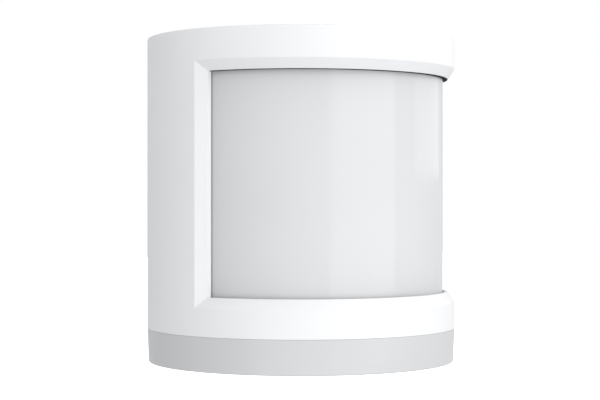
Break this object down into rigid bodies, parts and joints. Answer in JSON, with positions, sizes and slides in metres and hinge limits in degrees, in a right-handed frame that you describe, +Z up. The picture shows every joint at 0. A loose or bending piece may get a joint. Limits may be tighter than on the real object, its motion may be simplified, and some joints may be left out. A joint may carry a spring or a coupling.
{
  "type": "motion sensor",
  "caption": "Indoor passive infrared motion sensor: upright cylinder with a flat back, curved milky lens, grey base cap and hook-on wall bracket.",
  "frame": {"origin": "on the cylinder's axis, on the base cap's bottom face", "axes": "+Z up, front towards -Y, flat back and wall bracket towards +Y, +X to the right seen from the front"},
  "size_m": [0.072, 0.0562, 0.075],
  "materials": {
    "housing_plastic": "satin moulded white",
    "bracket_plastic": "satin moulded white",
    "cap_plastic": "satin moulded light grey",
    "lens_plastic": "smooth milky white",
    "gasket_foam": "closed-cell foam",
    "inner_plastic": "matt moulded grey",
    "cell_sleeve": "shrunk sleeve, plain",
    "contact_steel": "nickel-plated strip",
    "board_laminate": "green solder resist",
    "black_plastic": "matt black",
    "can_metal": "drawn tinned can",
    "dark_filter": "polished dark filter",
    "led_resin": "tinted clear resin",
    "key_plastic": "satin white",
    "screw_steel": "zinc-plated"
  },
  "bodies": {
    "bracket": {"wall_bracket": "bracket_plastic"},
    "detector": {"front_housing": "housing_plastic", "rear_cover": "housing_plastic", "lens": "lens_plastic", "lens_gasket": "gasket_foam", "chassis": "inner_plastic", "battery_tray": "inner_plastic", "battery": "cell_sleeve", "contact_positive": "contact_steel", "contact_negative": "contact_steel", "main_board": "board_laminate", "pyro_holder": "black_plastic", "pyro_sensor": "can_metal", "pyro_window": "dark_filter", "microcontroller": "black_plastic", "crystal": "can_metal", "radio_shield": "can_metal", "antenna": "contact_steel", "capacitor_left": "black_plastic", "capacitor_right": "black_plastic", "status_led": "led_resin", "tamper_switch": "black_plastic", "pairing_switch": "black_plastic", "board_screw_1": "screw_steel", "board_screw_2": "screw_steel", "board_screw_3": "screw_steel", "board_screw_4": "screw_steel", "cover_screw_1": "screw_steel", "cover_screw_2": "screw_steel", "cover_screw_3": "screw_steel", "cover_screw_4": "screw_steel", "tray_screw_1": "screw_steel", "tray_screw_2": "screw_steel"},
    "base": {"base_cap": "cap_plastic"},
    "plunger": {"tamper_plunger": "key_plastic", "tamper_switch_stem": "key_plastic"},
    "button": {"pairing_button": "key_plastic", "pairing_switch_stem": "key_plastic"}
  },
  "joints": [
    {"name": "detector_lift", "type": "slide", "parent": "bracket", "child": "detector", "axis": [0, 0, 1], "range_m": [0, 0.008]},
    {"name": "base_cap_slide", "type": "slide", "parent": "detector", "child": "base", "axis": [0, 0, -1], "range_m": [0, 0.012]},
    {"name": "tamper_plunger_slide", "type": "slide", "parent": "detector", "child": "plunger", "axis": [0, 1, 0], "range_m": [0, 0.001]},
    {"name": "pairing_button_slide", "type": "slide", "parent": "detector", "child": "button", "axis": [0, 0, 1], "range_m": [0, 0.0007], "stiffness_N_per_m": 200, "springref_m": -0.001}
  ],
  "couplings": [
    {"joint": "tamper_plunger_slide", "follows": "detector_lift", "ratio": 0.125}
  ]
}
